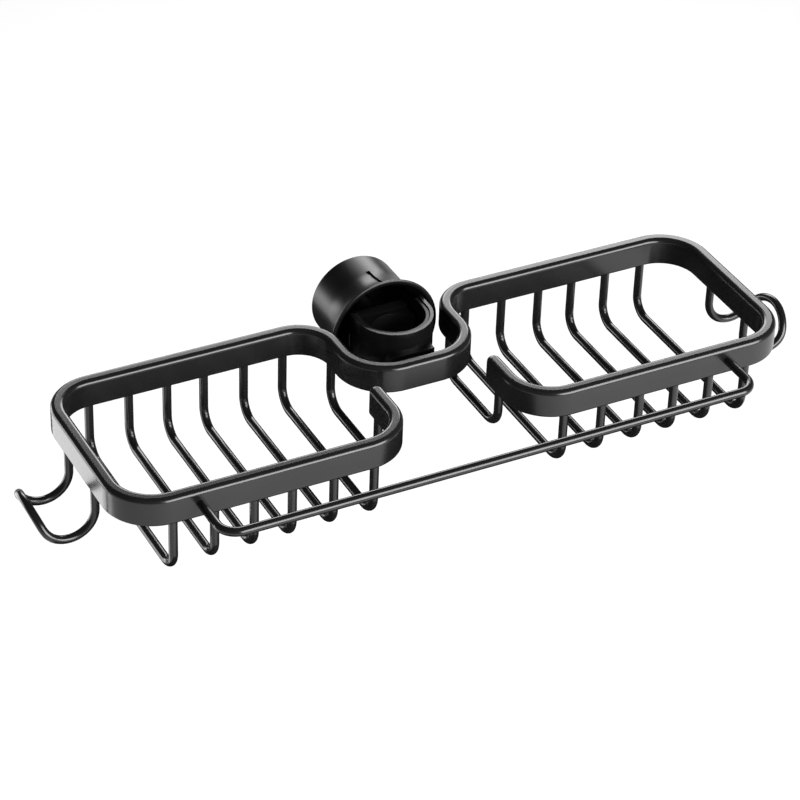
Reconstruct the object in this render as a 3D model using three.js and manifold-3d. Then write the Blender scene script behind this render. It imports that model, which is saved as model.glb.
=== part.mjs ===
// A shower caddy: wire baskets under one bent frame bar, held on a vertical pipe by a clamp.
// Millimetres. +X runs along the caddy, -Y is its front and +Z is up.
// The origin is on the pipe's axis, level with the axis that the clamp's knob turns about.

import * as THREE from 'three';
import { mergeVertices } from 'three/addons/utils/BufferGeometryUtils.js';
import Module from 'manifold-3d';

const wasm = await Module();
wasm.setup();

// Frame bar: one flat bar on edge. Its places are on the centreline, in plan.
const BAR_THICKNESS = 6.6;
const BAR_HEIGHT = 14;
const BAR_TOP = 8.8;
const BAR_EDGE = 1.5;
const FRONT_Y = -74.4;
const BACK_Y = 22.1;
const SIDE_X = 166.7;
const FREE_END_X = 30.1;
const FREE_END_TIP_Y = -36.2;
const NOTCH_X = 30.2;
const NOTCH_Y = -25.8;
const BASKET_CORNER = 20.5;
const NOTCH_BACK_CORNER = 18.4;
const NOTCH_FRONT_CORNER = 20.8;

const BAR_BOTTOM = BAR_TOP - BAR_HEIGHT;
const BAR_MIDDLE_Z = BAR_TOP - BAR_HEIGHT / 2;

// Basket rods: each is a U under the bar, from its back leg to its front leg.
const ROD_RADIUS = 2.2;
const ROD_SPOTS = [145.5, 125.9, 106.9, 88.5, 68.2, 48.3];
const ROD_RUN_Z = -32.55;
const ROD_BEND = 9.2;
const SHORT_ROD_X = 31.2;
const SHORT_ROD_BACK_Y = 5.3;
const SHORT_ROD_FRONT_Y = -43.9;
const SHORT_ROD_RUN_Z = -27.4;

// Towel rail on the front of the bar
const RAIL_RADIUS = 2.15;
const RAIL_X = 133.4;
const RAIL_Y = -102.7;
const RAIL_BEND = 8.6;

// End hooks: a loop of wire curled outwards and up, hung from the bar's underside
const HOOK_RADIUS = 2;
const HOOK_X = 167.6;
const HOOK_Y = -24;
const HOOK_HALF_WIDTH = 15.5;
const HOOK_DROP = 10.8;
const HOOK_BEND = 12.7;
const HOOK_TURN = THREE.MathUtils.degToRad(159);
const HOOK_LEG_LENGTH = 38;

// Clamp body: a jaw in front of the pipe and two legs that carry the knob behind it
const JAW_CENTRE_Y = 4.1;
const JAW_RADIUS = 18.7;
const JAW_BORE = 17.1;
const JAW_HALF_HEIGHT = 15.3;
const JAW_BACK_Y = 12;
const LEG_RADIUS = 19.3;
const LEG_INNER_X = 14;
const LEG_STEP_Y = 12.3;
const LEG_BACK_Y = 36;
const LINER_OUTER = 16.8;
const LINER_INNER = 15;
const LINER_HALF_HEIGHT = 14.7;
const LINER_BACK_Y = 12;

// Block on the jaw's front, the spacer before it, and the screws through both into the bar
const BLOCK_FRONT_Y = -16.7;
const BLOCK_HALF_WIDTH = 11.2;
const BLOCK_Z = [-12, 5.5];
const SPACER_HALF_WIDTH = 9;
const SPACER_Z = [-4, 3.6];
const SCREW_SPOTS = [-5, 5];
const SCREW_Z = -0.2;
const SCREW_SEAT_Y = -15.2;
const SCREW_HEAD = { radius: 3.4, length: 1.7 };
const SCREW_SHANK = { radius: 1.5, length: 12.4 };
const SCREW_CLEARANCE = 0.3;

// Knob: a bell that opens forwards over the clamp body's legs. Each pair is a radius and its y.
const KNOB_OUTSIDE = [[27.5, 12.5], [25.6, 14.8], [23.9, 18.8], [22.6, 24.8], [22, 30.8]];
const KNOB_INSIDE = [[19.8, 26], [20.3, 23], [21.9, 17], [24.6, 13.6], [25.3, 12.5]];
const KNOB_BACK_Y = 46.8;
const KNOB_BACK_ROUND = 1.5;
const KNOB_FLOOR_Y = 42.5;
const BOSS = { radius: 13.4, frontY: 38, bore: 5.4 };
const RECESS = { radius: 8.3, floorY: 42 };
const CAP = { radius: 9.5, seatY: 45.4, gap: 0.3 };
const MARK = { width: 1.8, depth: 1, frontY: 17, backY: 32 };

// Presser: the rubber pad behind the pipe, its carrier and the screw that keeps the knob on it
const PAD_RADIUS = 11.85;
const PAD_CENTRE_Y = -0.7;
const PAD_HALF_WIDTH = 11.9;
const PAD_HORN_X = 10.9;
const PAD_HORN_STEP = 1;
const PAD_BACK_Y = 14.2;
const PAD_HALF_HEIGHT = 9.9;
const PLATE_HALF_WIDTH = 13.5;
const PLATE_Y = [16, 20];
const STEM_RADIUS = 5.1;
const STEM_BACK_Y = 42.1;
const WASHER = { radius: 7.5, hole: 2.3, length: 1 };
const STEM_SCREW_HEAD = { radius: 3.6, length: 1.9 };
const STEM_SCREW_SHANK = { radius: 2, length: 10 };

const BEND_STEP = Math.PI / 8;
const ROUND_SIDES = 48;
// How far a cutting shape runs past what it cuts
const OVERRUN = 1;

const materials = {
  bar: new THREE.MeshStandardMaterial({ color: 0x2b2c2e, roughness: 0.34, metalness: 0.85 }),
  wire: new THREE.MeshStandardMaterial({ color: 0x18191a, roughness: 0.25, metalness: 0.7 }),
  knob: new THREE.MeshStandardMaterial({ color: 0x0d0d0e, roughness: 0.16, metalness: 0 }),
  clamp: new THREE.MeshStandardMaterial({ color: 0x121213, roughness: 0.3, metalness: 0 }),
  rubber: new THREE.MeshStandardMaterial({ color: 0x101010, roughness: 0.75, metalness: 0 }),
  steel: new THREE.MeshStandardMaterial({ color: 0x8f9194, roughness: 0.35, metalness: 1 }),
};

// Closed solids: geometry to manifold and back

function solidOf(geometry) {
  const bare = (geometry.index ? geometry.toNonIndexed() : geometry).clone();
  bare.deleteAttribute('normal');
  bare.deleteAttribute('uv');
  const merged = mergeVertices(bare, 1e-4);
  const corners = [];
  for (let i = 0; i < merged.index.count; i += 3) {
    const [a, b, c] = [0, 1, 2].map((k) => merged.index.getX(i + k));
    if (a !== b && b !== c && c !== a) corners.push(a, b, c);
  }
  return new wasm.Manifold(new wasm.Mesh({
    numProp: 3,
    vertProperties: new Float32Array(merged.attributes.position.array),
    triVerts: new Uint32Array(corners),
  }));
}

function geometryOf(solid) {
  const mesh = solid.getMesh();
  const geometry = new THREE.BufferGeometry();
  geometry.setAttribute('position', new THREE.BufferAttribute(mesh.vertProperties, 3));
  geometry.setIndex(new THREE.BufferAttribute(mesh.triVerts, 1));
  return geometry;
}

// Plain shapes

function extruded(outline, low, high) {
  const geometry = new THREE.ExtrudeGeometry(new THREE.Shape(outline), {
    depth: high - low,
    bevelEnabled: false,
  });
  return geometry.translate(0, 0, low);
}

function turned(profile, sides = ROUND_SIDES) {
  return new THREE.LatheGeometry(profile.map(([radius, y]) => new THREE.Vector2(radius, y)), sides);
}

function disc(radius, lowY, highY, sides = ROUND_SIDES) {
  return turned([[0, lowY], [radius, lowY], [radius, highY], [0, highY]], sides);
}

function block(low, high) {
  const size = high.map((value, i) => value - low[i]);
  const middle = high.map((value, i) => (value + low[i]) / 2);
  return new THREE.BoxGeometry(...size).translate(...middle);
}

// Points on an arc in plan, with angles from +X towards +Y
function arc(x, y, radius, start, end, steps) {
  const points = [];
  for (let i = 0; i <= steps; i += 1) {
    const angle = start + (end - start) * i / steps;
    points.push(new THREE.Vector2(x + radius * Math.cos(angle), y + radius * Math.sin(angle)));
  }
  return points;
}

// Bent paths: the stations of a path that is straight between corners and round at them

function bentPath(corners) {
  const stations = [];
  const heading = (i) => corners[i + 1].at.clone().sub(corners[i].at).normalize();
  stations.push({ point: corners[0].at, tangent: heading(0) });
  for (let i = 1; i < corners.length - 1; i += 1) {
    const { at, radius } = corners[i];
    const before = heading(i - 1);
    const after = heading(i);
    const turn = before.angleTo(after);
    const inward = after.clone().addScaledVector(before, -Math.cos(turn)).normalize();
    const start = at.clone().addScaledVector(before, -radius * Math.tan(turn / 2));
    const steps = Math.ceil(turn / BEND_STEP);
    for (let k = 0; k <= steps; k += 1) {
      const angle = turn * k / steps;
      const point = start.clone()
        .addScaledVector(before, radius * Math.sin(angle))
        .addScaledVector(inward, radius * (1 - Math.cos(angle)));
      const tangent = before.clone().multiplyScalar(Math.cos(angle))
        .addScaledVector(inward, Math.sin(angle));
      stations.push({ point, tangent });
    }
  }
  stations.push({ point: corners.at(-1).at, tangent: heading(corners.length - 2) });
  return stations;
}

function corner(x, y, z, radius) {
  return { at: new THREE.Vector3(x, y, z), radius };
}

// A curve that an extrusion samples at the stations themselves
class StationCurve extends THREE.Curve {
  constructor(stations) {
    super();
    this.stations = stations;
  }

  stationAt(u) {
    return this.stations[Math.round(u * (this.stations.length - 1))];
  }

  getPointAt(u) {
    return this.stationAt(u).point.clone();
  }

  getTangentAt(u) {
    return this.stationAt(u).tangent.clone();
  }
}

function wire(stations, radius, sides = 10) {
  const section = arc(0, 0, radius, 0, 2 * Math.PI, sides).slice(0, -1);
  return new THREE.ExtrudeGeometry(new THREE.Shape(section), {
    steps: stations.length - 1,
    extrudePath: new StationCurve(stations),
  });
}

// Sub-parts

function frameBar() {
  const half = BAR_THICKNESS / 2;
  const rightHalf = [
    corner(NOTCH_X, NOTCH_Y, 0, NOTCH_FRONT_CORNER),
    corner(NOTCH_X, BACK_Y, 0, NOTCH_BACK_CORNER),
    corner(SIDE_X, BACK_Y, 0, BASKET_CORNER),
    corner(SIDE_X, FRONT_Y, 0, BASKET_CORNER),
    corner(FREE_END_X, FRONT_Y, 0, BASKET_CORNER),
    corner(FREE_END_X, FREE_END_TIP_Y - half, 0, 0),
  ];
  const leftHalf = rightHalf.map(({ at, radius }) => corner(-at.x, at.y, 0, radius)).reverse();
  const centreline = bentPath([...leftHalf, ...rightHalf]);
  const offset = ({ point, tangent }, side) => new THREE.Vector2(
    point.x - side * tangent.y,
    point.y + side * tangent.x,
  );
  const first = centreline[0].point;
  const last = centreline.at(-1).point;
  const outline = [
    ...centreline.map((station) => offset(station, -half)),
    ...arc(last.x, last.y, half, 0, Math.PI, 6).slice(1, -1),
    ...centreline.map((station) => offset(station, half)).reverse(),
    ...arc(first.x, first.y, half, 0, Math.PI, 6).slice(1, -1),
  ];
  const bar = new THREE.ExtrudeGeometry(new THREE.Shape(outline), {
    depth: BAR_HEIGHT - 2 * BAR_EDGE,
    bevelThickness: BAR_EDGE,
    bevelSize: BAR_EDGE,
    bevelOffset: -BAR_EDGE,
    bevelSegments: 2,
  }).translate(0, 0, BAR_BOTTOM + BAR_EDGE);
  const tipY = SCREW_SEAT_Y - SCREW_SHANK.length - SCREW_CLEARANCE;
  let solid = solidOf(bar);
  for (const x of SCREW_SPOTS) {
    const hole = disc(SCREW_SHANK.radius + SCREW_CLEARANCE, tipY, BLOCK_FRONT_Y, 12);
    solid = solid.subtract(solidOf(hole.translate(x, 0, SCREW_Z)));
  }
  return geometryOf(solid);
}

function basketRod(backY, frontY, runZ) {
  return wire(bentPath([
    corner(0, backY, BAR_BOTTOM, 0),
    corner(0, backY, runZ, ROD_BEND),
    corner(0, frontY, runZ, ROD_BEND),
    corner(0, frontY, BAR_BOTTOM, 0),
  ]), ROD_RADIUS);
}

function towelRail() {
  const barFace = FRONT_Y - BAR_THICKNESS / 2;
  return wire(bentPath([
    corner(-RAIL_X, barFace, 0, 0),
    corner(-RAIL_X, RAIL_Y, 0, RAIL_BEND),
    corner(RAIL_X, RAIL_Y, 0, RAIL_BEND),
    corner(RAIL_X, barFace, 0, 0),
  ]), RAIL_RADIUS);
}

// The curl seen from its side: how far out and down a length of wire from its root has come
function curl(length) {
  const bent = THREE.MathUtils.clamp(length - HOOK_DROP, 0, HOOK_BEND * HOOK_TURN);
  const turn = bent / HOOK_BEND;
  const rise = Math.max(length - HOOK_DROP - bent, 0);
  return {
    out: HOOK_BEND * (1 - Math.cos(turn)) + rise * Math.sin(turn),
    down: Math.min(length, HOOK_DROP) + HOOK_BEND * Math.sin(turn) + rise * Math.cos(turn),
    turn,
  };
}

function endHook() {
  const stations = [];
  const place = (length, y, alongLength, alongY) => {
    const { out, down, turn } = curl(length);
    const tangent = new THREE.Vector3(Math.sin(turn), 0, -Math.cos(turn))
      .multiplyScalar(alongLength)
      .add(new THREE.Vector3(0, alongY, 0))
      .normalize();
    stations.push({ point: new THREE.Vector3(out, y, -down), tangent });
  };
  const bends = 5;
  const legStops = [0];
  for (let i = 0; i < bends; i += 1) {
    legStops.push(HOOK_DROP + (HOOK_LEG_LENGTH - HOOK_DROP) * i / bends);
  }
  legStops.forEach((length) => place(length, -HOOK_HALF_WIDTH, 1, 0));
  const loopSteps = 12;
  for (let i = 0; i <= loopSteps; i += 1) {
    const angle = Math.PI * i / loopSteps;
    const length = HOOK_LEG_LENGTH + HOOK_HALF_WIDTH * Math.sin(angle);
    const y = -HOOK_HALF_WIDTH * Math.cos(angle);
    place(length, y, Math.cos(angle), Math.sin(angle));
  }
  legStops.reverse().forEach((length) => place(length, HOOK_HALF_WIDTH, -1, 0));
  return wire(stations, HOOK_RADIUS);
}

// A U in plan that opens backwards: an arc before the pipe and two straight legs
function jawOutline(radius, backY) {
  return [
    new THREE.Vector2(radius, backY),
    ...arc(0, JAW_CENTRE_Y, radius, 0, -Math.PI, 20),
    new THREE.Vector2(-radius, backY),
  ];
}

function clampBody() {
  const above = JAW_HALF_HEIGHT + OVERRUN;
  const jaw = extruded(jawOutline(JAW_RADIUS, JAW_BACK_Y), -JAW_HALF_HEIGHT, JAW_HALF_HEIGHT);
  const jawHollow = extruded(jawOutline(JAW_BORE, LEG_STEP_Y), -above, above);
  const legs = disc(LEG_RADIUS, JAW_BACK_Y - OVERRUN, LEG_BACK_Y);
  const legHollow = block(
    [-LEG_INNER_X, JAW_BACK_Y - 2 * OVERRUN, -LEG_RADIUS],
    [LEG_INNER_X, LEG_BACK_Y + OVERRUN, LEG_RADIUS],
  );
  const screwBlock = block(
    [-BLOCK_HALF_WIDTH, BLOCK_FRONT_Y, BLOCK_Z[0]],
    [BLOCK_HALF_WIDTH, JAW_CENTRE_Y, BLOCK_Z[1]],
  );
  let solid = solidOf(jaw)
    .add(solidOf(screwBlock))
    .add(solidOf(legs).subtract(solidOf(legHollow)))
    .subtract(solidOf(jawHollow));
  for (const x of SCREW_SPOTS) {
    const head = disc(SCREW_HEAD.radius + SCREW_CLEARANCE, SCREW_SEAT_Y, JAW_CENTRE_Y, 16);
    const shank = disc(SCREW_SHANK.radius + SCREW_CLEARANCE, BLOCK_FRONT_Y - OVERRUN, JAW_CENTRE_Y, 12);
    solid = solid.subtract(solidOf(head.translate(x, 0, SCREW_Z)));
    solid = solid.subtract(solidOf(shank.translate(x, 0, SCREW_Z)));
  }
  return geometryOf(solid);
}

function jawLiner() {
  const inner = jawOutline(LINER_INNER, LINER_BACK_Y).reverse();
  return extruded([...jawOutline(LINER_OUTER, LINER_BACK_Y), ...inner], -LINER_HALF_HEIGHT, LINER_HALF_HEIGHT);
}

function mountSpacer() {
  const barFace = NOTCH_Y + BAR_THICKNESS / 2;
  let solid = solidOf(block(
    [-SPACER_HALF_WIDTH, barFace, SPACER_Z[0]],
    [SPACER_HALF_WIDTH, BLOCK_FRONT_Y, SPACER_Z[1]],
  ));
  for (const x of SCREW_SPOTS) {
    const hole = disc(SCREW_SHANK.radius + SCREW_CLEARANCE, barFace - OVERRUN, BLOCK_FRONT_Y + OVERRUN, 12);
    solid = solid.subtract(solidOf(hole.translate(x, 0, SCREW_Z)));
  }
  return geometryOf(solid);
}

// A screw along Y with the underside of its head at y = 0. Its shank points to -Y.
function screw(head, shank) {
  return turned([
    [0, -shank.length],
    [shank.radius, -shank.length],
    [shank.radius, 0],
    [head.radius, 0],
    [head.radius, head.length],
    [0, head.length],
  ], 12);
}

// A shallow groove that follows the knob's outside, at the top
function markCutter() {
  const [mouthRadius, mouthY] = KNOB_OUTSIDE[0];
  const floor = KNOB_OUTSIDE.map(([radius, y]) => [radius - MARK.depth, y]);
  const outside = mouthRadius + OVERRUN;
  const ring = turned([
    floor[0],
    [outside, mouthY],
    [outside, MARK.backY],
    [floor.at(-1)[0], MARK.backY],
    ...floor.toReversed(),
  ]);
  const slot = block([-MARK.width / 2, MARK.frontY, 0], [MARK.width / 2, MARK.backY, outside]);
  return solidOf(ring).intersect(solidOf(slot));
}

function knob() {
  const sideRadius = KNOB_OUTSIDE.at(-1)[0];
  const backEdge = arc(
    sideRadius - KNOB_BACK_ROUND,
    KNOB_BACK_Y - KNOB_BACK_ROUND,
    KNOB_BACK_ROUND,
    0,
    Math.PI / 2,
    3,
  );
  const profile = [
    ...KNOB_OUTSIDE,
    ...backEdge.map(({ x, y }) => [x, y]),
    [CAP.radius, KNOB_BACK_Y],
    [CAP.radius, CAP.seatY],
    [RECESS.radius, CAP.seatY],
    [RECESS.radius, RECESS.floorY],
    [BOSS.bore, RECESS.floorY],
    [BOSS.bore, BOSS.frontY],
    [BOSS.radius, BOSS.frontY],
    [BOSS.radius, KNOB_FLOOR_Y],
    [KNOB_INSIDE[0][0], KNOB_FLOOR_Y],
    ...KNOB_INSIDE,
    KNOB_OUTSIDE[0],
  ];
  return geometryOf(solidOf(turned(profile)).subtract(markCutter()));
}

function knobCap() {
  return disc(CAP.radius - CAP.gap, CAP.seatY, KNOB_BACK_Y, 32);
}

function backPad() {
  const lift = Math.acos(PAD_HORN_X / PAD_RADIUS);
  const sideY = PAD_CENTRE_Y + PAD_RADIUS * Math.sin(lift) + PAD_HORN_STEP;
  return extruded([
    new THREE.Vector2(-PAD_HALF_WIDTH, sideY),
    new THREE.Vector2(-PAD_HALF_WIDTH, PAD_BACK_Y),
    new THREE.Vector2(PAD_HALF_WIDTH, PAD_BACK_Y),
    new THREE.Vector2(PAD_HALF_WIDTH, sideY),
    ...arc(0, PAD_CENTRE_Y, PAD_RADIUS, lift, Math.PI - lift, 16),
  ].reverse(), -PAD_HALF_HEIGHT, PAD_HALF_HEIGHT);
}

function padCarrier() {
  const seat = block(
    [-PAD_HALF_WIDTH, PAD_BACK_Y, -PAD_HALF_HEIGHT],
    [PAD_HALF_WIDTH, PLATE_Y[1], PAD_HALF_HEIGHT],
  );
  const plate = block(
    [-PLATE_HALF_WIDTH, PLATE_Y[0], -PAD_HALF_HEIGHT],
    [PLATE_HALF_WIDTH, PLATE_Y[1], PAD_HALF_HEIGHT],
  );
  const stem = disc(STEM_RADIUS, PLATE_Y[0], STEM_BACK_Y, 32);
  const screwEnd = STEM_BACK_Y + WASHER.length - STEM_SCREW_SHANK.length;
  const hole = disc(
    STEM_SCREW_SHANK.radius + SCREW_CLEARANCE,
    screwEnd - SCREW_CLEARANCE,
    STEM_BACK_Y + OVERRUN,
    12,
  );
  return geometryOf(solidOf(seat).add(solidOf(plate)).add(solidOf(stem)).subtract(solidOf(hole)));
}

function stemWasher() {
  const { hole, radius, length } = WASHER;
  return turned([[radius, 0], [radius, length], [hole, length], [hole, 0], [radius, 0]], 24);
}

// The caddy

const caddy = new THREE.Group();
caddy.name = 'shower_caddy';

function add(parent, name, geometry, material) {
  const mesh = new THREE.Mesh(geometry, material.clone());
  mesh.name = name;
  parent.add(mesh);
  return mesh;
}

add(caddy, 'frame_bar', frameBar(), materials.bar);

for (const [label, side] of [['left', -1], ['right', 1]]) {
  const basket = new THREE.Group();
  ROD_SPOTS.forEach((x, i) => {
    const rod = add(basket, `${label}_rod_${i + 1}`, basketRod(BACK_Y, FRONT_Y, ROD_RUN_Z), materials.wire);
    rod.position.x = side * x;
  });
  const shortRod = basketRod(SHORT_ROD_BACK_Y, SHORT_ROD_FRONT_Y, SHORT_ROD_RUN_Z);
  const last = add(basket, `${label}_rod_${ROD_SPOTS.length + 1}`, shortRod, materials.wire);
  last.position.x = side * SHORT_ROD_X;

  const hook = add(basket, `${label}_hook`, endHook(), materials.wire);
  hook.position.set(side * HOOK_X, HOOK_Y, BAR_BOTTOM);
  hook.rotation.z = side > 0 ? 0 : Math.PI;
  caddy.add(basket);
}

const rail = add(caddy, 'towel_rail', towelRail(), materials.wire);
rail.position.z = BAR_MIDDLE_Z;

const clamp = new THREE.Group();
add(clamp, 'clamp_body', clampBody(), materials.clamp);
add(clamp, 'jaw_liner', jawLiner(), materials.rubber);
add(clamp, 'mount_spacer', mountSpacer(), materials.clamp);
SCREW_SPOTS.forEach((x, i) => {
  const clampScrew = add(clamp, `clamp_screw_${i + 1}`, screw(SCREW_HEAD, SCREW_SHANK), materials.steel);
  clampScrew.position.set(x, SCREW_SEAT_Y, SCREW_Z);
});
caddy.add(clamp);

const presser = new THREE.Group();
add(presser, 'pad_carrier', padCarrier(), materials.clamp);
add(presser, 'back_pad', backPad(), materials.rubber);
const washer = add(presser, 'stem_washer', stemWasher(), materials.steel);
washer.position.y = STEM_BACK_Y;
const stemScrew = add(presser, 'stem_screw', screw(STEM_SCREW_HEAD, STEM_SCREW_SHANK), materials.steel);
stemScrew.position.y = STEM_BACK_Y + WASHER.length;
caddy.add(presser);

const turner = new THREE.Group();
add(turner, 'knob', knob(), materials.knob);
add(turner, 'knob_cap', knobCap(), materials.knob);
caddy.add(turner);

export default caddy;
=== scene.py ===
"""A black shower caddy: a bent frame bar, wire baskets, a towel rail, hooks and a pipe clamp with a knob."""

import math

import bmesh
import bpy
from mathutils import Euler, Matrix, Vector


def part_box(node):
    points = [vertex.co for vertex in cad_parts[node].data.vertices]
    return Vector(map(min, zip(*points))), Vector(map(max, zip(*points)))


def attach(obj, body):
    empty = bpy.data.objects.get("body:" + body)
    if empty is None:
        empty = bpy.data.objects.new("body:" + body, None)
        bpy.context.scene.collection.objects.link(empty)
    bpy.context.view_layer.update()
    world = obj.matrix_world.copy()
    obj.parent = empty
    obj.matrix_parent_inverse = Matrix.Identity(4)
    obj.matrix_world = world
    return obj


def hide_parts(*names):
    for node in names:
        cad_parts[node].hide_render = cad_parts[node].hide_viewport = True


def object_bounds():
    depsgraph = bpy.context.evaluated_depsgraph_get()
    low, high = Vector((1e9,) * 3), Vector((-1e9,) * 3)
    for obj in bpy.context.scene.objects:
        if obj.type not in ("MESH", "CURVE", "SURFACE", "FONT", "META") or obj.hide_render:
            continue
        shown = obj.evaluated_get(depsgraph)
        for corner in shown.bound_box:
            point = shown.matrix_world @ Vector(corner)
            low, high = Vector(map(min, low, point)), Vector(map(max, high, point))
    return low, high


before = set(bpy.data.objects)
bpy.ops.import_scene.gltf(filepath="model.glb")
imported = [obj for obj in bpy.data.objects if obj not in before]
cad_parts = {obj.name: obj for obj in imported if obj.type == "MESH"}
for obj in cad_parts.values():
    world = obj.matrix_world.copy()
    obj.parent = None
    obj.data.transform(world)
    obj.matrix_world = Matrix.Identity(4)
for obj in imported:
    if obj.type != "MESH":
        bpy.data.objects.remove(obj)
cad_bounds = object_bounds()

MM = 0.001

# How finely curves are cut
BEND_STEP = math.radians(5)
WIRE_SIDES = 28
TURNED_SIDES = 160
SHARP_ANGLE = math.radians(40)
MERGE_DISTANCE = 0.002 * MM

# A turned solid has a hole of this radius on its axis, too small to see
AXIS_RADIUS = 0.01 * MM

# Frame bar, on its centreline
BAR_THICKNESS = 6.6 * MM
BAR_TOP_EDGE = 2.3 * MM
BAR_BOTTOM_EDGE = 1 * MM
BAR_EDGE_STEPS = 6
BAR_END_STEPS = 12
BASKET_CORNER = 20.5 * MM
NOTCH_X = 30.2 * MM
NOTCH_BACK_CORNER = 18.4 * MM
NOTCH_FRONT_CORNER = 20.8 * MM
FREE_END_X = 30.1 * MM
FREE_END_Y = -39.5 * MM

# Rods, rail and hooks, on their centrelines
RODS_PER_BASKET = 7
ROD_BEND = 9.2 * MM
RAIL_BEND = 8.6 * MM
HOOK_X = 167.6 * MM
HOOK_DROP = 10.8 * MM
HOOK_BEND = 12.7 * MM
HOOK_TURN = math.radians(159)
HOOK_LEG_LENGTH = 38 * MM
HOOK_HALF_WIDTH = 15.5 * MM
HOOK_LEG_STEPS = 24
HOOK_LOOP_STEPS = 36

# Clamp body: the jaw, the block in front of it and the legs behind it
JAW_CENTRE_Y = 4.1 * MM
JAW_RADIUS = 18.7 * MM
JAW_WALL = 1.6 * MM
JAW_BACK_Y = 12 * MM
JAW_OVER_LINER = 0.6 * MM
JAW_STEPS = 72
BORE_BACK_Y = 12.3 * MM
BLOCK_HALF_WIDTH = 11.2 * MM
BLOCK_Z = (-12 * MM, 5.5 * MM)
LEG_RADIUS = 19.3 * MM
LEG_INNER_X = 14 * MM
LEG_FRONT_Y = 11.3 * MM
CLAMP_EDGE = 0.35 * MM
SPACER_EDGE = 0.4 * MM
# A cutter is this many times as long as what it cuts
CUTTER_LENGTH = 1.2

# Rubber: the liner in the jaw and the pad behind the pipe
LINER_WALL = 1.8 * MM
LINER_EDGE = 0.12 * MM
RIBS = 40
RIB_STEPS = 4
RIB_DEPTH = 0.25 * MM
PAD_RADIUS = 11.85 * MM
PAD_CENTRE_Y = -0.7 * MM
PAD_HORN_X = 10.9 * MM
PAD_HORN_STEP = 1 * MM
PAD_EDGE = 0.3 * MM
PAD_STEPS = 48

# Knob, in mm: pairs of a radius and its distance behind the mouth
KNOB_OUTSIDE = [
    (27.1, 0.1), (27.5, 0.4), (27.45, 0.8), (26.9, 1.3), (26.3, 1.7), (26.25, 1.9),
    (25.6, 2.6), (24.65, 4.4), (23.9, 6.3), (23.2, 9.2), (22.6, 12.3), (22.2, 15.3), (22, 18.3),
]
KNOB_MOUTH = [
    (19.8, 13.5), (20.3, 10.5), (21.0, 7.7), (21.9, 4.5), (23.1, 2.6), (24.6, 1.1),
    (25.2, 0.25), (25.6, 0), (26.7, 0),
]
KNOB_BACK_EDGE = 1.5
KNOB_BACK_STEPS = 8
FLOOR_DEPTH = 30
BOSS_RADIUS = 13.4
BOSS_DEPTH = 25.5
BOSS_EDGE = 0.5
BOSS_BORE = 5.4
BOSS_BORE_EDGE = 0.4
RECESS_RADIUS = 8.3
RECESS_DEPTH = 29.5
CAP_SEAT_RADIUS = 9.5
CAP_SEAT_DEPTH = 32.9
CAP_SEAT_EDGE = 0.3
CAP_EDGE = 0.3 * MM
CAP_EDGE_STEPS = 5

# Rings in the knob's bore: shares of the ring's height, and of the pitch it is reached at
THREAD_RADIUS = 19.8
THREAD_HEIGHT = 0.35
THREAD_PITCH = 2
THREAD_SHAPE = [(0, 0), (1, 0.35), (1, 0.55), (0, 0.9)]

# Index mark on the knob: its floor follows the outside from one of its points on
MARK_HALF_WIDTH = 1.05
MARK_DEPTH = 1
MARK_FRONT = 4.5
MARK_BACK = 19.5
MARK_FIRST_POINT = 6
MARK_TOP = 28
MARK_RING_RADIUS = 29

# Surfaces: clouds as (place on the ramp, share of the colour), and where an edge counts as rubbed
CLOUD_SCALE = 45
CLOUD_DETAIL = 6
CLOUD_SHADES = [(0.3, 0.8), (0.7, 1.2)]
RUBBED_FROM = 0.52
RUBBED_TO = 0.66
RUBBED_SHARE = 0.5
GRAIN_DETAIL = 3
SMOOTHEST = 0.02

# Studio, in metres: the card is painted shade, a level black sheet that lies under the caddy
FLOOR_DROP = 0.6
FLOOR_HALF = 12
FLOOR_GREY = 0.5
FLOOR_GLOW = 0.6
CARD_X = (-0.19, 0.2)
CARD_Y = (-0.16, 0.26)
CARD_Z = -0.1
ROOM_LIGHT = 0.1
ROOM_SEEN = 0.66
CAMERA_PLACE = (-0.5477, -1.0355, 0.7858)
CAMERA_TURN_DEG = (55.081, -1.698, -26.817)
FOCAL_LENGTH_MM = 135.95
SENSOR_WIDTH_MM = 36
FARTHEST_SEEN = 30


# Mesh helpers

def mesh_from(name, vertices, faces):
    mesh = bpy.data.meshes.new(name)
    mesh.from_pydata(vertices, [], faces)
    shape = bmesh.new()
    shape.from_mesh(mesh)
    bmesh.ops.remove_doubles(shape, verts=shape.verts, dist=MERGE_DISTANCE)
    bmesh.ops.recalc_face_normals(shape, faces=shape.faces)
    shape.to_mesh(mesh)
    shape.free()
    return mesh


def loose(name, mesh):
    thing = bpy.data.objects.new(name, mesh)
    bpy.context.scene.collection.objects.link(thing)
    return thing


def flatten(thing):
    """Applies a thing's modifiers."""
    bpy.context.view_layer.update()
    seen = thing.evaluated_get(bpy.context.evaluated_depsgraph_get())
    mesh = bpy.data.meshes.new_from_object(seen)
    thing.modifiers.clear()
    thing.data = mesh
    return thing


def combine(thing, other, operation):
    """Joins another thing to this one, or cuts it from this one."""
    step = thing.modifiers.new("combine", "BOOLEAN")
    step.object = other
    step.operation = operation
    step.solver = "EXACT"
    flatten(thing)
    bpy.data.objects.remove(other)
    return thing


def soften(thing, width, steps=2):
    """Rounds the sharp edges."""
    edges = thing.modifiers.new("edges", "BEVEL")
    edges.width = width
    edges.segments = steps
    edges.limit_method = "ANGLE"
    edges.angle_limit = SHARP_ANGLE
    return flatten(thing)


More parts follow.
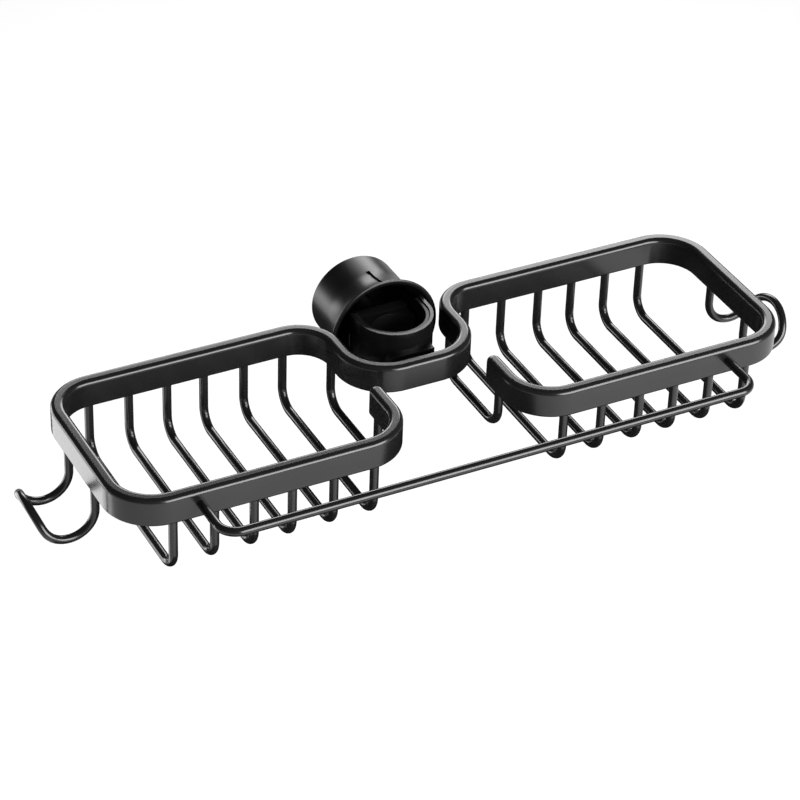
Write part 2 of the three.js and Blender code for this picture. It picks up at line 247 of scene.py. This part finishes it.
def piece(thing, body, finish):
    """Finishes a thing as the visible form of the CAD node that it is named after."""
    node = thing.name.removesuffix("_look")
    mesh = thing.data
    mesh.materials.clear()
    mesh.materials.append(finish)
    mesh.shade_smooth()
    mesh.set_sharp_from_angle(angle=SHARP_ANGLE)
    normals = thing.modifiers.new("normals", "WEIGHTED_NORMAL")
    normals.keep_sharp = True
    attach(thing, body)
    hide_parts(node)


def ring_faces(count, rings):
    """Quads between closed rings of equal length."""
    faces = []
    for i in range(rings - 1):
        for k in range(count):
            a = i * count + k
            b = i * count + (k + 1) % count
            faces.append((a, b, b + count, a + count))
    return faces


def capped(name, vertices, count):
    """A solid from a stack of rings, closed at both ends."""
    faces = ring_faces(count, len(vertices) // count)
    faces.append(tuple(range(count)))
    faces.append(tuple(range(len(vertices) - count, len(vertices))))
    return loose(name, mesh_from(name, vertices, faces))


def bent_path(corners):
    """Stations (point, tangent) of a path that is straight between corners and round at them."""
    points = [Vector(place) for place, _ in corners]
    headings = [(b - a).normalized() for a, b in zip(points, points[1:])]
    stations = [(points[0], headings[0])]
    for i in range(1, len(points) - 1):
        before = headings[i - 1]
        after = headings[i]
        radius = corners[i][1]
        turn = before.angle(after)
        inward = (after - before * math.cos(turn)).normalized()
        start = points[i] - before * radius * math.tan(turn / 2)
        steps = math.ceil(turn / BEND_STEP)
        for k in range(steps + 1):
            angle = turn * k / steps
            out = before * math.sin(angle) + inward * (1 - math.cos(angle))
            tangent = before * math.cos(angle) + inward * math.sin(angle)
            stations.append((start + out * radius, tangent))
    stations.append((points[-1], headings[-1]))
    return stations


def wire(name, stations, radius):
    """A round rod along stations (point, tangent, a direction square to the tangent)."""
    vertices = []
    for point, tangent, up in stations:
        across = tangent.cross(up).normalized()
        for k in range(WIRE_SIDES):
            angle = 2 * math.pi * k / WIRE_SIDES
            vertices.append(point + (across * math.cos(angle) + up * math.sin(angle)) * radius)
    return capped(name, vertices, WIRE_SIDES)


def flat_wire(name, corners, radius, up):
    """A round rod whose bends all lie in the plane square to up."""
    return wire(name, [(point, tangent, Vector(up)) for point, tangent in bent_path(corners)], radius)


def turned(name, profile):
    """A closed profile of (radius, y) pairs, turned about the y axis."""
    vertices = []
    for i in range(TURNED_SIDES + 1):
        angle = 2 * math.pi * i / TURNED_SIDES
        vertices += [(r * math.cos(angle), y, r * math.sin(angle)) for r, y in profile]
    return loose(name, mesh_from(name, vertices, ring_faces(len(profile), TURNED_SIDES + 1)))


def prism(name, outline, low, high):
    """An outline in plan between two heights."""
    vertices = [(x, y, z) for z in (low, high) for x, y in outline]
    return capped(name, vertices, len(outline))


def slab(name, low, high):
    """A block between two corners."""
    (x0, y0, z0), (x1, y1, z1) = low, high
    return prism(name, [(x0, y0), (x1, y0), (x1, y1), (x0, y1)], z0, z1)


def arc(x, y, radius, start, end, steps):
    angles = [start + (end - start) * i / steps for i in range(steps + 1)]
    return [(x + radius * math.cos(angle), y + radius * math.sin(angle)) for angle in angles]


# Materials

def clouded_colour(nodes, links, places, colour):
    """The colour in soft lighter and darker clouds."""
    cloud = nodes.new("ShaderNodeTexNoise")
    cloud.inputs["Scale"].default_value = CLOUD_SCALE
    cloud.inputs["Detail"].default_value = CLOUD_DETAIL
    links.new(places, cloud.inputs["Vector"])
    tint = nodes.new("ShaderNodeValToRGB")
    for element, (position, shade) in zip(tint.color_ramp.elements, CLOUD_SHADES):
        element.position = position
        element.color = (*[c * shade for c in colour], 1)
    links.new(cloud.outputs["Fac"], tint.inputs["Fac"])
    return tint.outputs["Color"]


def rubbed_colour(nodes, links, clouded, colour):
    """The clouded colour, a little lighter on edges that hands and bottles rub."""
    edges = nodes.new("ShaderNodeNewGeometry")
    wear = nodes.new("ShaderNodeMapRange")
    wear.inputs["From Min"].default_value = RUBBED_FROM
    wear.inputs["From Max"].default_value = RUBBED_TO
    wear.inputs["To Max"].default_value = RUBBED_SHARE
    links.new(edges.outputs["Pointiness"], wear.inputs["Value"])
    worn = nodes.new("ShaderNodeMix")
    worn.data_type = "RGBA"
    worn.inputs["B"].default_value = (*[min(1, c * 2 + 0.02) for c in colour], 1)
    links.new(wear.outputs["Result"], worn.inputs["Factor"])
    links.new(clouded, worn.inputs["A"])
    return worn.outputs["Result"]


def paint(name, colour, roughness, metallic, specular, grain):
    """A coated surface. Grain is its scale, how far it changes the roughness, and its bump in metres."""
    material = bpy.data.materials.new(name)
    material.use_nodes = True
    nodes = material.node_tree.nodes
    links = material.node_tree.links
    shader = nodes["Principled BSDF"]
    shader.inputs["Metallic"].default_value = metallic
    shader.inputs["Specular IOR Level"].default_value = specular
    places = nodes.new("ShaderNodeTexCoord").outputs["Object"]
    clouded = clouded_colour(nodes, links, places, colour)
    links.new(rubbed_colour(nodes, links, clouded, colour), shader.inputs["Base Color"])

    scale, swing, height = grain
    speckle = nodes.new("ShaderNodeTexNoise")
    speckle.inputs["Scale"].default_value = scale
    speckle.inputs["Detail"].default_value = GRAIN_DETAIL
    links.new(places, speckle.inputs["Vector"])
    gloss = nodes.new("ShaderNodeMapRange")
    gloss.inputs["To Min"].default_value = max(SMOOTHEST, roughness - swing)
    gloss.inputs["To Max"].default_value = roughness + swing
    links.new(speckle.outputs["Fac"], gloss.inputs["Value"])
    links.new(gloss.outputs["Result"], shader.inputs["Roughness"])
    bump = nodes.new("ShaderNodeBump")
    bump.inputs["Distance"].default_value = height
    bump.inputs["Strength"].default_value = 1
    links.new(speckle.outputs["Fac"], bump.inputs["Height"])
    links.new(bump.outputs["Normal"], shader.inputs["Normal"])
    return material


bar_paint = paint(
    "bar_metal", (0.009, 0.0091, 0.0096),
    roughness=0.21, metallic=0, specular=0.5, grain=(2600, 0.04, 0.0005 * MM),
)
wire_paint = paint(
    "wire_metal", (0.008, 0.0081, 0.0085),
    roughness=0.2, metallic=0, specular=0.5, grain=(1200, 0.03, 0.0003 * MM),
)
clamp_paint = paint(
    "clamp_plastic", (0.004, 0.004, 0.0042),
    roughness=0.25, metallic=0, specular=0.5, grain=(1800, 0.05, 0.002 * MM),
)
knob_paint = paint(
    "knob_plastic", (0.002, 0.002, 0.0021),
    roughness=0.3, metallic=0, specular=0.3, grain=(700, 0.03, 0.0006 * MM),
)
rubber_paint = paint(
    "rubber", (0.004, 0.004, 0.004),
    roughness=0.4, metallic=0, specular=0.4, grain=(2200, 0.08, 0.004 * MM),
)
steel_paint = paint(
    "screw_steel", (0.5, 0.5, 0.51),
    roughness=0.3, metallic=1, specular=0.5, grain=(3000, 0.08, 0.004 * MM),
)


# Frame bar

def bar_stations():
    """The bar's centreline, from its left free end round both baskets to its right one."""
    low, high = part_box("frame_bar")
    half = BAR_THICKNESS / 2
    notch_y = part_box("mount_spacer")[0].y - half
    side_x = high.x - half
    back_y = high.y - half
    front_y = low.y + half
    right = [
        ((NOTCH_X, notch_y, 0), NOTCH_FRONT_CORNER),
        ((NOTCH_X, back_y, 0), NOTCH_BACK_CORNER),
        ((side_x, back_y, 0), BASKET_CORNER),
        ((side_x, front_y, 0), BASKET_CORNER),
        ((FREE_END_X, front_y, 0), BASKET_CORNER),
        ((FREE_END_X, FREE_END_Y, 0), 0),
    ]
    left = [((-x, y, z), radius) for (x, y, z), radius in reversed(right)]
    return bent_path(left + right)


def bar_outline(stations, offset):
    """The outline in plan at an offset from the centreline, round at both free ends."""
    up = Vector((0, 0, 1))
    one_side = [point + tangent.cross(up) * offset for point, tangent in stations]
    other_side = [point - tangent.cross(up) * offset for point, tangent in reversed(stations)]
    half_circle = arc(0, 0, offset, 0, math.pi, BAR_END_STEPS)[1:-1]
    first = stations[0][0]
    last = stations[-1][0]
    last_end = [Vector((last.x + x, last.y + y, 0)) for x, y in half_circle]
    first_end = [Vector((first.x + x, first.y + y, 0)) for x, y in half_circle]
    return one_side + last_end + other_side + first_end


def bar_edge(edge):
    """Pairs of an offset from the centreline and a rise from the flat face, round a long edge."""
    half = BAR_THICKNESS / 2
    angles = [math.pi / 2 * i / BAR_EDGE_STEPS for i in range(BAR_EDGE_STEPS + 1)]
    return [(half - edge * (1 - math.sin(a)), edge * (1 - math.cos(a))) for a in angles]


def frame_bar():
    low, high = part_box("frame_bar")
    stations = bar_stations()
    levels = [(offset, low.z + rise) for offset, rise in bar_edge(BAR_BOTTOM_EDGE)]
    levels += [(offset, high.z - rise) for offset, rise in reversed(bar_edge(BAR_TOP_EDGE))]
    vertices = []
    for offset, z in levels:
        vertices += [(point.x, point.y, z) for point in bar_outline(stations, offset)]
    return capped("frame_bar_look", vertices, len(vertices) // len(levels))


piece(frame_bar(), "rack", bar_paint)


# Rods, rail and hooks

def basket_rod(name):
    low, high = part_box(name)
    x = (low.x + high.x) / 2
    radius = (high.x - low.x) / 2
    top = high.z
    bottom = low.z + radius
    back = high.y - radius
    front = low.y + radius
    corners = [
        ((x, back, top), 0),
        ((x, back, bottom), ROD_BEND),
        ((x, front, bottom), ROD_BEND),
        ((x, front, top), 0),
    ]
    return flat_wire(f"{name}_look", corners, radius, (1, 0, 0))


def towel_rail():
    low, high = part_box("towel_rail")
    radius = (high.z - low.z) / 2
    z = (low.z + high.z) / 2
    left = low.x + radius
    right = high.x - radius
    front = low.y + radius
    corners = [
        ((left, high.y, z), 0),
        ((left, front, z), RAIL_BEND),
        ((right, front, z), RAIL_BEND),
        ((right, high.y, z), 0),
    ]
    return flat_wire("towel_rail_look", corners, radius, (0, 0, 1))


def end_hook(name, side):
    """A loop of wire that curls outwards and up. Its legs lie on a sheet that bends."""
    low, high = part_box(name)
    root = Vector((side * HOOK_X, (low.y + high.y) / 2, high.z))
    radius = (high.y - low.y) / 2 - HOOK_HALF_WIDTH

    def station(length, y, along_length, along_y):
        bent = min(max(length - HOOK_DROP, 0), HOOK_BEND * HOOK_TURN)
        turn = bent / HOOK_BEND
        rise = max(length - HOOK_DROP - bent, 0)
        out = HOOK_BEND * (1 - math.cos(turn)) + rise * math.sin(turn)
        down = min(length, HOOK_DROP) + HOOK_BEND * math.sin(turn) + rise * math.cos(turn)
        tangent = Vector((side * math.sin(turn) * along_length, along_y, -math.cos(turn) * along_length))
        up = Vector((side * math.cos(turn), 0, math.sin(turn)))
        return root + Vector((side * out, y, -down)), tangent.normalized(), up

    below = HOOK_LEG_LENGTH - HOOK_DROP
    leg = [0] + [HOOK_DROP + below * i / HOOK_LEG_STEPS for i in range(HOOK_LEG_STEPS)]
    stations = [station(length, -HOOK_HALF_WIDTH, 1, 0) for length in leg]
    for i in range(HOOK_LOOP_STEPS + 1):
        angle = math.pi * i / HOOK_LOOP_STEPS
        length = HOOK_LEG_LENGTH + HOOK_HALF_WIDTH * math.sin(angle)
        y = -HOOK_HALF_WIDTH * math.cos(angle)
        stations.append(station(length, y, math.cos(angle), math.sin(angle)))
    stations += [station(length, HOOK_HALF_WIDTH, -1, 0) for length in reversed(leg)]
    return wire(f"{name}_look", stations, radius)


for side, label in ((-1, "left"), (1, "right")):
    for number in range(1, RODS_PER_BASKET + 1):
        piece(basket_rod(f"{label}_rod_{number}"), "rack", wire_paint)
    piece(end_hook(f"{label}_hook", side), "rack", wire_paint)
piece(towel_rail(), "rack", wire_paint)


# Clamp body, liner and spacer

def jaw_outline(radius, back):
    """A half circle in plan that opens backwards, with straight sides up to its back."""
    bow = arc(0, JAW_CENTRE_Y, radius, 0, -math.pi, JAW_STEPS)
    return [(radius, back)] + bow + [(-radius, back)]


def clamp_legs(back):
    """A disc with its middle cut out."""
    disc = [(AXIS_RADIUS, LEG_FRONT_Y), (LEG_RADIUS, LEG_FRONT_Y), (LEG_RADIUS, back), (AXIS_RADIUS, back)]
    legs = turned("legs", disc)
    reach = CUTTER_LENGTH * LEG_RADIUS
    gap = slab("gap", (-LEG_INNER_X, 0, -reach), (LEG_INNER_X, back + MM, reach))
    return combine(legs, gap, "DIFFERENCE")


def clamp_body():
    low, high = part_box("clamp_body")
    jaw_half = -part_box("jaw_liner")[0].z + JAW_OVER_LINER
    block_low = (-BLOCK_HALF_WIDTH, low.y, BLOCK_Z[0])
    block_high = (BLOCK_HALF_WIDTH, JAW_CENTRE_Y, BLOCK_Z[1])
    cut_half = CUTTER_LENGTH * jaw_half
    bore = jaw_outline(JAW_RADIUS - JAW_WALL, BORE_BACK_Y)
    body = prism("clamp_body_look", jaw_outline(JAW_RADIUS, JAW_BACK_Y), -jaw_half, jaw_half)
    combine(body, slab("block", block_low, block_high), "UNION")
    combine(body, clamp_legs(high.y), "UNION")
    combine(body, prism("bore", bore, -cut_half, cut_half), "DIFFERENCE")
    return soften(body, CLAMP_EDGE)


def jaw_liner():
    """Rubber with fine upright ribs on the side that grips the pipe."""
    low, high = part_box("jaw_liner")
    inner = high.x - LINER_WALL
    steps = RIBS * RIB_STEPS
    ribbed = []
    for i in range(steps + 1):
        angle = -math.pi * i / steps
        radius = inner + RIB_DEPTH * (i % RIB_STEPS == 0)
        ribbed.append((radius * math.cos(angle), JAW_CENTRE_Y + radius * math.sin(angle)))
    inside = [(inner, high.y)] + ribbed + [(-inner, high.y)]
    outline = jaw_outline(high.x, high.y) + inside[::-1]
    return soften(prism("jaw_liner_look", outline, low.z, high.z), LINER_EDGE, steps=1)


def mount_spacer():
    return soften(slab("mount_spacer_look", *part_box("mount_spacer")), SPACER_EDGE)


piece(clamp_body(), "rack", clamp_paint)
piece(jaw_liner(), "rack", rubber_paint)
piece(mount_spacer(), "rack", clamp_paint)


# The knob and its cap

def thread_rings():
    """The rings in the knob's bore, from its floor towards the mouth."""
    rings = []
    start = FLOOR_DEPTH - THREAD_PITCH
    while start - THREAD_PITCH > KNOB_MOUTH[0][1]:
        for height, pitch in THREAD_SHAPE:
            rings.append((THREAD_RADIUS - height * THREAD_HEIGHT, start - pitch * THREAD_PITCH))
        start -= THREAD_PITCH
    return rings


def knob_profile(depth):
    """Once round the knob's wall: outside, back, cap seat, screw recess, boss, bore and mouth."""
    middle = KNOB_OUTSIDE[-1][0] - KNOB_BACK_EDGE
    back_edge = arc(middle, depth - KNOB_BACK_EDGE, KNOB_BACK_EDGE, 0, math.pi / 2, KNOB_BACK_STEPS)
    return KNOB_OUTSIDE + back_edge + [
        (CAP_SEAT_RADIUS + CAP_SEAT_EDGE, depth),
        (CAP_SEAT_RADIUS, depth - CAP_SEAT_EDGE),
        (CAP_SEAT_RADIUS, CAP_SEAT_DEPTH),
        (RECESS_RADIUS, CAP_SEAT_DEPTH),
        (RECESS_RADIUS, RECESS_DEPTH),
        (BOSS_BORE, RECESS_DEPTH),
        (BOSS_BORE, BOSS_DEPTH + BOSS_BORE_EDGE),
        (BOSS_BORE + BOSS_BORE_EDGE, BOSS_DEPTH),
        (BOSS_RADIUS - BOSS_EDGE, BOSS_DEPTH),
        (BOSS_RADIUS, BOSS_DEPTH + BOSS_EDGE),
        (BOSS_RADIUS, FLOOR_DEPTH),
        (THREAD_RADIUS, FLOOR_DEPTH),
    ] + thread_rings() + KNOB_MOUTH


def mark_ring():
    """A ring round the knob whose inside follows the outside of the knob, a mark's depth lower."""
    floor = [(radius - MARK_DEPTH, depth) for radius, depth in KNOB_OUTSIDE[MARK_FIRST_POINT:]]
    return [
        (MARK_RING_RADIUS, floor[0][1]),
        (MARK_RING_RADIUS, MARK_BACK),
        (floor[-1][0], MARK_BACK),
        *reversed(floor),
    ]


def knob():
    low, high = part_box("knob")
    mouth = low.y

    def places(pairs):
        return [(radius * MM, mouth + depth * MM) for radius, depth in pairs]

    bell = turned("knob_look", places(knob_profile((high.y - low.y) / MM)))
    mark = turned("mark", places(mark_ring()))
    slot = slab(
        "slot",
        (-MARK_HALF_WIDTH * MM, mouth + MARK_FRONT * MM, 0),
        (MARK_HALF_WIDTH * MM, mouth + MARK_BACK * MM, MARK_TOP * MM),
    )
    combine(mark, slot, "INTERSECT")
    return combine(bell, mark, "DIFFERENCE")


def knob_cap():
    low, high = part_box("knob_cap")
    corner = arc(high.x - CAP_EDGE, high.y - CAP_EDGE, CAP_EDGE, 0, math.pi / 2, CAP_EDGE_STEPS)
    profile = [(AXIS_RADIUS, low.y), (high.x, low.y), *corner, (AXIS_RADIUS, high.y)]
    return turned("knob_cap_look", profile)


piece(knob(), "turner", knob_paint)
piece(knob_cap(), "turner", knob_paint)


# The pad behind the pipe

def back_pad():
    low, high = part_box("back_pad")
    lift = math.acos(PAD_HORN_X / PAD_RADIUS)
    side_y = PAD_CENTRE_Y + PAD_RADIUS * math.sin(lift) + PAD_HORN_STEP
    hollow = arc(0, PAD_CENTRE_Y, PAD_RADIUS, lift, math.pi - lift, PAD_STEPS)
    outline = [(high.x, side_y), *hollow, (low.x, side_y), (low.x, high.y), (high.x, high.y)]
    return soften(prism("back_pad_look", outline, low.z, high.z), PAD_EDGE)


piece(back_pad(), "presser", rubber_paint)


# Hidden parts keep their CAD shape

for name, finish in (
    ("pad_carrier", clamp_paint),
    ("clamp_screw_1", steel_paint),
    ("clamp_screw_2", steel_paint),
    ("stem_washer", steel_paint),
    ("stem_screw", steel_paint),
):
    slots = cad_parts[name].data.materials
    slots.clear()
    slots.append(finish)


# Floor, light and camera

def flat_sheet(name, across, along, z, grey, glow):
    """A level sheet that belongs to the studio."""
    corners = [(across[0], along[0]), (across[1], along[0]), (across[1], along[1]), (across[0], along[1])]
    sheet = loose(name, mesh_from(name, [(x, y, z) for x, y in corners], [(0, 1, 2, 3)]))
    material = bpy.data.materials.new(name)
    material.use_nodes = True
    shader = material.node_tree.nodes["Principled BSDF"]
    shader.inputs["Base Color"].default_value = (grey, grey, grey, 1)
    shader.inputs["Roughness"].default_value = 1
    shader.inputs["Specular IOR Level"].default_value = 0
    shader.inputs["Emission Color"].default_value = (1, 1, 1, 1)
    shader.inputs["Emission Strength"].default_value = glow
    sheet.data.materials.append(material)
    return sheet


def painted_shade_card():
    """Painted shade: a black sheet that only shows in reflections, standing for the shadowed floor under the
    caddy.
    """
    card = flat_sheet("painted_shade_card", CARD_X, CARD_Y, CARD_Z, grey=0, glow=0)
    card.visible_camera = False
    card.visible_shadow = False
    card.visible_diffuse = False
    card.visible_transmission = False


def lamp(name, place, size, brightness):
    """A soft box that faces the caddy. Its power follows from how bright its face is."""
    light = bpy.data.lights.new(name, "AREA")
    light.shape = "RECTANGLE"
    light.size, light.size_y = size
    light.energy = brightness * math.pi * size[0] * size[1]
    thing = bpy.data.objects.new(name, light)
    thing.location = place
    thing.rotation_euler = (-thing.location).to_track_quat("-Z", "Y").to_euler()
    thing.visible_camera = False
    bpy.context.scene.collection.objects.link(thing)


def studio_world():
    """A dim room, which the camera sees as pale as the far floor."""
    world = bpy.data.worlds.new("studio")
    world.use_nodes = True
    nodes = world.node_tree.nodes
    links = world.node_tree.links
    seen = nodes.new("ShaderNodeLightPath")
    strength = nodes.new("ShaderNodeMapRange")
    strength.inputs["To Min"].default_value = ROOM_LIGHT
    strength.inputs["To Max"].default_value = ROOM_SEEN
    links.new(seen.outputs["Is Camera Ray"], strength.inputs["Value"])
    nodes["Background"].inputs["Color"].default_value = (1, 1, 1, 1)
    links.new(strength.outputs["Result"], nodes["Background"].inputs["Strength"])
    return world


def studio_camera():
    lens = bpy.data.cameras.new("camera")
    lens.sensor_width = SENSOR_WIDTH_MM
    lens.lens = FOCAL_LENGTH_MM
    lens.clip_end = FARTHEST_SEEN
    camera = bpy.data.objects.new("camera", lens)
    camera.location = CAMERA_PLACE
    camera.rotation_euler = Euler([math.radians(angle) for angle in CAMERA_TURN_DEG], "XYZ")
    bpy.context.scene.collection.objects.link(camera)
    return camera


floor_span = (-FLOOR_HALF, FLOOR_HALF)
flat_sheet("floor", floor_span, floor_span, cad_bounds[0].z - FLOOR_DROP, FLOOR_GREY, FLOOR_GLOW)
# Painted shade: a black sheet under the caddy, seen only in reflections
painted_shade_card()
lamp("top_box", (0.86, 1.61, 0.8), (1.3, 0.7), 7)
lamp("front_box", (0.8, -1.75, 0.5), (1.8, 1.2), 11)
lamp("left_strip", (-1.05, 1.17, -0.1), (1.2, 0.35), 4)
lamp("left_table", (-0.45, 0.42, -0.35), (0.6, 0.6), 2)

scene = bpy.context.scene
scene.world = studio_world()
scene.view_settings.view_transform = "Standard"
scene.camera = studio_camera()
